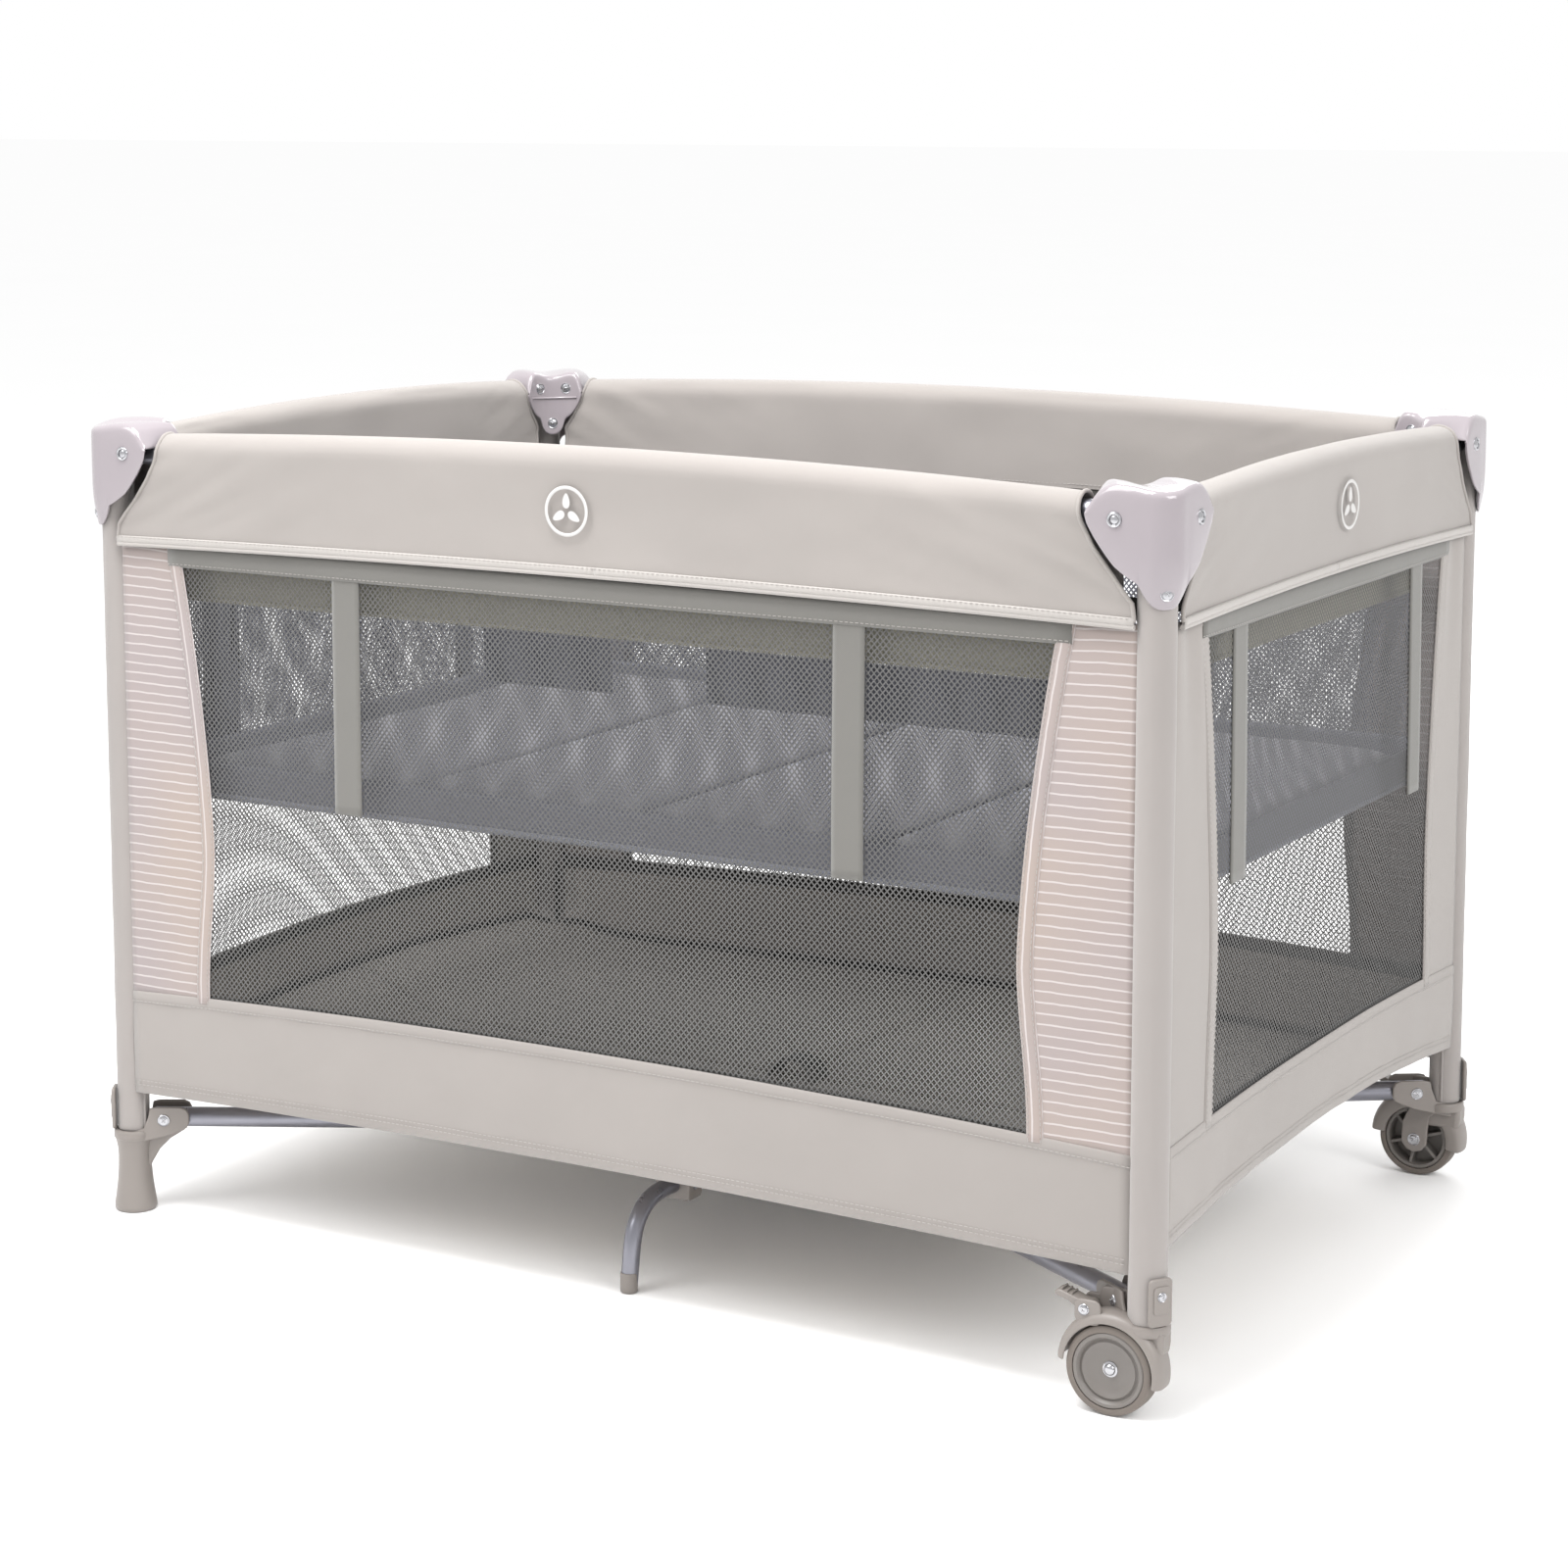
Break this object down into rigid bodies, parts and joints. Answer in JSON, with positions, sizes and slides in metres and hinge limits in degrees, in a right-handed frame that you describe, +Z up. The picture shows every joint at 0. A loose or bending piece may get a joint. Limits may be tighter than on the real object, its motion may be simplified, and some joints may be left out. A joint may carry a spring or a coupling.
{
  "type": "playpen",
  "caption": "Folding rectangular baby playpen with mesh sides, a hung bassinet level with a folding mattress, feet at one end and braked wheels at the other.",
  "frame": {"origin": "on the floor under the middle of the pen", "axes": "+X along the pen to the end with the wheels, +Y to the rear side, +Z up"},
  "size_m": [1.048, 0.724, 0.7209],
  "materials": {
    "steel_tube": "satin grey powder coat",
    "zinc_steel": "bright zinc",
    "gloss_plastic": "glossy lavender grey",
    "grey_plastic": "fine satin moulded warm grey",
    "wheel_plastic": "satin",
    "tyre": "soft warm grey tread",
    "greige_fabric": "tight plain weave",
    "mesh_fabric": "open net",
    "stripe_fabric": "pale pink with fine white lines",
    "lining_fabric": "plain weave",
    "bassinet_fabric": "heathered weave",
    "mattress_fabric": "quilted",
    "webbing": "ribbed tape",
    "print": "white printed mark"
  },
  "bodies": {
    "front_left_leg": {"leg_tube_front_left": "steel_tube", "corner_housing_front_left": "gloss_plastic", "foot_front_left": "grey_plastic"},
    "front_left_base_tube": {"base_tube_front_left": "steel_tube"},
    "front_right_leg": {"leg_tube_front_right": "steel_tube", "corner_housing_front_right": "gloss_plastic", "caster_housing_front_right": "grey_plastic", "axle_front_right": "zinc_steel", "side_wall_front": "greige_fabric"},
    "front_right_base_tube": {"base_tube_front_right": "steel_tube"},
    "rear_left_leg": {"leg_tube_rear_left": "steel_tube", "corner_housing_rear_left": "gloss_plastic", "foot_rear_left": "grey_plastic", "side_wall_left": "greige_fabric", "side_wall_rear": "greige_fabric", "bassinet": "bassinet_fabric"},
    "rear_left_base_tube": {"base_tube_rear_left": "steel_tube"},
    "rear_right_leg": {"leg_tube_rear_right": "steel_tube", "corner_housing_rear_right": "gloss_plastic", "caster_housing_rear_right": "grey_plastic", "axle_rear_right": "zinc_steel", "side_wall_right": "greige_fabric"},
    "rear_right_base_tube": {"base_tube_rear_right": "steel_tube"},
    "hub": {"hub": "grey_plastic", "pull_strap": "webbing", "floor_sheet": "lining_fabric"},
    "front_rail_left": {"front_rail_left": "steel_tube", "rail_sleeve_front": "greige_fabric"},
    "front_rail_right": {"front_rail_right": "steel_tube"},
    "front_latch": {"latch_housing_front": "grey_plastic"},
    "front_latch_button": {"latch_button_front": "grey_plastic"},
    "rear_rail_left": {"rear_rail_left": "steel_tube", "rail_sleeve_rear": "greige_fabric"},
    "rear_rail_right": {"rear_rail_right": "steel_tube"},
    "rear_latch": {"latch_housing_rear": "grey_plastic"},
    "rear_latch_button": {"latch_button_rear": "grey_plastic"},
    "left_rail_front": {"left_rail_front": "steel_tube"},
    "left_rail_rear": {"left_rail_rear": "steel_tube", "rail_sleeve_left": "greige_fabric"},
    "left_latch": {"latch_housing_left": "grey_plastic"},
    "left_latch_button": {"latch_button_left": "grey_plastic"},
    "right_rail_front": {"right_rail_front": "steel_tube"},
    "right_rail_rear": {"right_rail_rear": "steel_tube", "rail_sleeve_right": "greige_fabric"},
    "right_latch": {"latch_housing_right": "grey_plastic"},
    "right_latch_button": {"latch_button_right": "grey_plastic"},
    "front_centre_leg": {"centre_leg_front": "steel_tube"},
    "front_wheel": {"tyre_front_right": "tyre", "wheel_hub_front_right": "wheel_plastic"},
    "front_brake_pedal": {"brake_pedal_front_right": "grey_plastic"},
    "rear_centre_leg": {"centre_leg_rear": "steel_tube"},
    "rear_wheel": {"tyre_rear_right": "tyre", "wheel_hub_rear_right": "wheel_plastic"},
    "rear_brake_pedal": {"brake_pedal_rear_right": "grey_plastic"},
    "mattress_panel_1": {"mattress_panel_1": "mattress_fabric"},
    "mattress_panel_2": {"mattress_panel_2": "mattress_fabric"},
    "mattress_panel_3": {"mattress_panel_3": "mattress_fabric"},
    "mattress_panel_4": {"mattress_panel_4": "mattress_fabric"}
  },
  "joints": [
    {"name": "fold", "type": "hinge", "parent": "rear_left_leg", "child": "rear_left_base_tube", "pos_m": [-0.47585, 0.32287, 0.085], "axis": [-0.5311, -0.8473, 0], "range_deg": [0, 87.2], "deforming": ["side_wall_front", "side_wall_rear", "side_wall_left", "side_wall_right", "rail_sleeve_front", "rail_sleeve_rear", "rail_sleeve_left", "rail_sleeve_right", "floor_sheet", "bassinet", "pull_strap", "mattress_panel_1", "mattress_panel_2", "mattress_panel_3", "mattress_panel_4"]},
    {"name": "hub_pivot_rear_left", "type": "hinge", "parent": "rear_left_base_tube", "child": "hub", "pos_m": [-0.04185, 0.05087, 0.07427], "axis": [-0.5311, -0.8473, 0], "range_deg": [-87.2, 0]},
    {"name": "hub_pivot_front_left", "type": "hinge", "parent": "hub", "child": "front_left_base_tube", "pos_m": [-0.04185, -0.05087, 0.07427], "axis": [0.5311, -0.8473, 0], "range_deg": [0, 87.2]},
    {"name": "leg_pivot_front_left", "type": "hinge", "parent": "front_left_base_tube", "child": "front_left_leg", "pos_m": [-0.47585, -0.32287, 0.085], "axis": [0.5311, -0.8473, 0], "range_deg": [-87.2, 0]},
    {"name": "hub_pivot_front_right", "type": "hinge", "parent": "hub", "child": "front_right_base_tube", "pos_m": [0.04185, -0.05087, 0.07427], "axis": [0.5311, 0.8473, 0], "range_deg": [0, 87.2]},
    {"name": "leg_pivot_front_right", "type": "hinge", "parent": "front_right_base_tube", "child": "front_right_leg", "pos_m": [0.47585, -0.32287, 0.085], "axis": [0.5311, 0.8473, 0], "range_deg": [-87.2, 0]},
    {"name": "hub_pivot_rear_right", "type": "hinge", "parent": "hub", "child": "rear_right_base_tube", "pos_m": [0.04185, 0.05087, 0.07427], "axis": [-0.5311, 0.8473, 0], "range_deg": [0, 87.2]},
    {"name": "leg_pivot_rear_right", "type": "hinge", "parent": "rear_right_base_tube", "child": "rear_right_leg", "pos_m": [0.47585, 0.32287, 0.085], "axis": [-0.5311, 0.8473, 0], "range_deg": [-87.2, 0]},
    {"name": "rail_pivot_front_left", "type": "hinge", "parent": "front_left_leg", "child": "front_rail_left", "pos_m": [-0.474, -0.338, 0.692], "axis": [0, 1, 0], "range_deg": [0, 87.2]},
    {"name": "latch_pivot_front", "type": "hinge", "parent": "front_rail_left", "child": "front_latch", "pos_m": [-0.04, -0.338, 0.70109], "axis": [0, 1, 0], "range_deg": [-87.2, 0]},
    {"name": "rail_pivot_front_right", "type": "hinge", "parent": "front_right_leg", "child": "front_rail_right", "pos_m": [0.474, -0.338, 0.692], "axis": [0, -1, 0], "range_deg": [0, 87.2]},
    {"name": "rail_pivot_rear_left", "type": "hinge", "parent": "rear_left_leg", "child": "rear_rail_left", "pos_m": [-0.474, 0.338, 0.692], "axis": [0, 1, 0], "range_deg": [0, 87.2]},
    {"name": "latch_pivot_rear", "type": "hinge", "parent": "rear_rail_left", "child": "rear_latch", "pos_m": [-0.04, 0.338, 0.70109], "axis": [0, 1, 0], "range_deg": [-87.2, 0]},
    {"name": "rail_pivot_rear_right", "type": "hinge", "parent": "rear_right_leg", "child": "rear_rail_right", "pos_m": [0.474, 0.338, 0.692], "axis": [0, -1, 0], "range_deg": [0, 87.2]},
    {"name": "rail_pivot_left_front", "type": "hinge", "parent": "front_left_leg", "child": "left_rail_front", "pos_m": [-0.5, -0.312, 0.692], "axis": [-1, 0, 0], "range_deg": [0, 87.2]},
    {"name": "rail_pivot_left_rear", "type": "hinge", "parent": "rear_left_leg", "child": "left_rail_rear", "pos_m": [-0.5, 0.312, 0.692], "axis": [1, 0, 0], "range_deg": [0, 87.2]},
    {"name": "latch_pivot_left", "type": "hinge", "parent": "left_rail_rear", "child": "left_latch", "pos_m": [-0.5, 0.04, 0.6977], "axis": [1, 0, 0], "range_deg": [-87.2, 0]},
    {"name": "rail_pivot_right_front", "type": "hinge", "parent": "front_right_leg", "child": "right_rail_front", "pos_m": [0.5, -0.312, 0.692], "axis": [-1, 0, 0], "range_deg": [0, 87.2]},
    {"name": "rail_pivot_right_rear", "type": "hinge", "parent": "rear_right_leg", "child": "right_rail_rear", "pos_m": [0.5, 0.312, 0.692], "axis": [1, 0, 0], "range_deg": [0, 87.2]},
    {"name": "latch_pivot_right", "type": "hinge", "parent": "right_rail_rear", "child": "right_latch", "pos_m": [0.5, 0.04, 0.6977], "axis": [1, 0, 0], "range_deg": [-87.2, 0]},
    {"name": "centre_leg_pivot_front", "type": "hinge", "parent": "hub", "child": "front_centre_leg", "pos_m": [0.009, -0.045, 0.07427], "axis": [1, 0, 0], "range_deg": [0, 87.2]},
    {"name": "centre_leg_pivot_rear", "type": "hinge", "parent": "hub", "child": "rear_centre_leg", "pos_m": [-0.009, 0.045, 0.07427], "axis": [-1, 0, 0], "range_deg": [0, 87.2]},
    {"name": "mattress_fold_2", "type": "hinge", "parent": "hub", "child": "mattress_panel_2", "pos_m": [0, 0, 0.413], "axis": [0, 1, 0], "range_deg": [0, 87.2]},
    {"name": "mattress_fold_3", "type": "hinge", "parent": "hub", "child": "mattress_panel_3", "pos_m": [0, 0, 0.413], "axis": [0, -1, 0], "range_deg": [0, 87.2]},
    {"name": "mattress_fold_1", "type": "hinge", "parent": "mattress_panel_2", "child": "mattress_panel_1", "pos_m": [-0.232, 0, 0.388], "axis": [0, 1, 0], "range_deg": [-174.4, 0]},
    {"name": "mattress_fold_4", "type": "hinge", "parent": "mattress_panel_3", "child": "mattress_panel_4", "pos_m": [0.232, 0, 0.388], "axis": [0, -1, 0], "range_deg": [-174.4, 0]},
    {"name": "wheel_spin_front", "type": "hinge", "parent": "front_right_leg", "child": "front_wheel", "pos_m": [0.475, -0.344, 0.036], "axis": [0, 1, 0], "continuous": true},
    {"name": "brake_front", "type": "hinge", "parent": "front_right_leg", "child": "front_brake_pedal", "pos_m": [0.454, -0.343, 0.081], "axis": [0, -1, 0], "range_deg": [0, 18]},
    {"name": "wheel_spin_rear", "type": "hinge", "parent": "rear_right_leg", "child": "rear_wheel", "pos_m": [0.475, 0.344, 0.036], "axis": [0, 1, 0], "continuous": true},
    {"name": "brake_rear", "type": "hinge", "parent": "rear_right_leg", "child": "rear_brake_pedal", "pos_m": [0.454, 0.343, 0.081], "axis": [0, -1, 0], "range_deg": [0, 18]},
    {"name": "latch_release_front", "type": "slide", "parent": "front_latch", "child": "front_latch_button", "axis": [0, 0, 1], "range_m": [0, 0.004], "stiffness_N_per_m": 600, "springref_m": -0.003},
    {"name": "latch_release_rear", "type": "slide", "parent": "rear_latch", "child": "rear_latch_button", "axis": [0, 0, 1], "range_m": [0, 0.004], "stiffness_N_per_m": 600, "springref_m": -0.003},
    {"name": "latch_release_left", "type": "slide", "parent": "left_latch", "child": "left_latch_button", "axis": [0, 0, 1], "range_m": [0, 0.004], "stiffness_N_per_m": 600, "springref_m": -0.003},
    {"name": "latch_release_right", "type": "slide", "parent": "right_latch", "child": "right_latch_button", "axis": [0, 0, 1], "range_m": [0, 0.004], "stiffness_N_per_m": 600, "springref_m": -0.003}
  ],
  "couplings": [
    {"joint": "hub_pivot_rear_left", "follows": "fold", "ratio": -1},
    {"joint": "hub_pivot_front_left", "follows": "fold", "ratio": 1},
    {"joint": "leg_pivot_front_left", "follows": "fold", "ratio": -1},
    {"joint": "hub_pivot_front_right", "follows": "fold", "ratio": 1},
    {"joint": "leg_pivot_front_right", "follows": "fold", "ratio": -1},
    {"joint": "hub_pivot_rear_right", "follows": "fold", "ratio": 1},
    {"joint": "leg_pivot_rear_right", "follows": "fold", "ratio": -1},
    {"joint": "rail_pivot_front_left", "follows": "fold", "ratio": 1},
    {"joint": "latch_pivot_front", "follows": "fold", "ratio": -1},
    {"joint": "rail_pivot_front_right", "follows": "fold", "ratio": 1},
    {"joint": "rail_pivot_rear_left", "follows": "fold", "ratio": 1},
    {"joint": "latch_pivot_rear", "follows": "fold", "ratio": -1},
    {"joint": "rail_pivot_rear_right", "follows": "fold", "ratio": 1},
    {"joint": "rail_pivot_left_front", "follows": "fold", "ratio": 1},
    {"joint": "rail_pivot_left_rear", "follows": "fold", "ratio": 1},
    {"joint": "latch_pivot_left", "follows": "fold", "ratio": -1},
    {"joint": "rail_pivot_right_front", "follows": "fold", "ratio": 1},
    {"joint": "rail_pivot_right_rear", "follows": "fold", "ratio": 1},
    {"joint": "latch_pivot_right", "follows": "fold", "ratio": -1},
    {"joint": "centre_leg_pivot_front", "follows": "fold", "ratio": 1},
    {"joint": "centre_leg_pivot_rear", "follows": "fold", "ratio": 1},
    {"joint": "mattress_fold_2", "follows": "fold", "ratio": 1},
    {"joint": "mattress_fold_3", "follows": "fold", "ratio": 1},
    {"joint": "mattress_fold_1", "follows": "fold", "ratio": -2},
    {"joint": "mattress_fold_4", "follows": "fold", "ratio": -2}
  ]
}
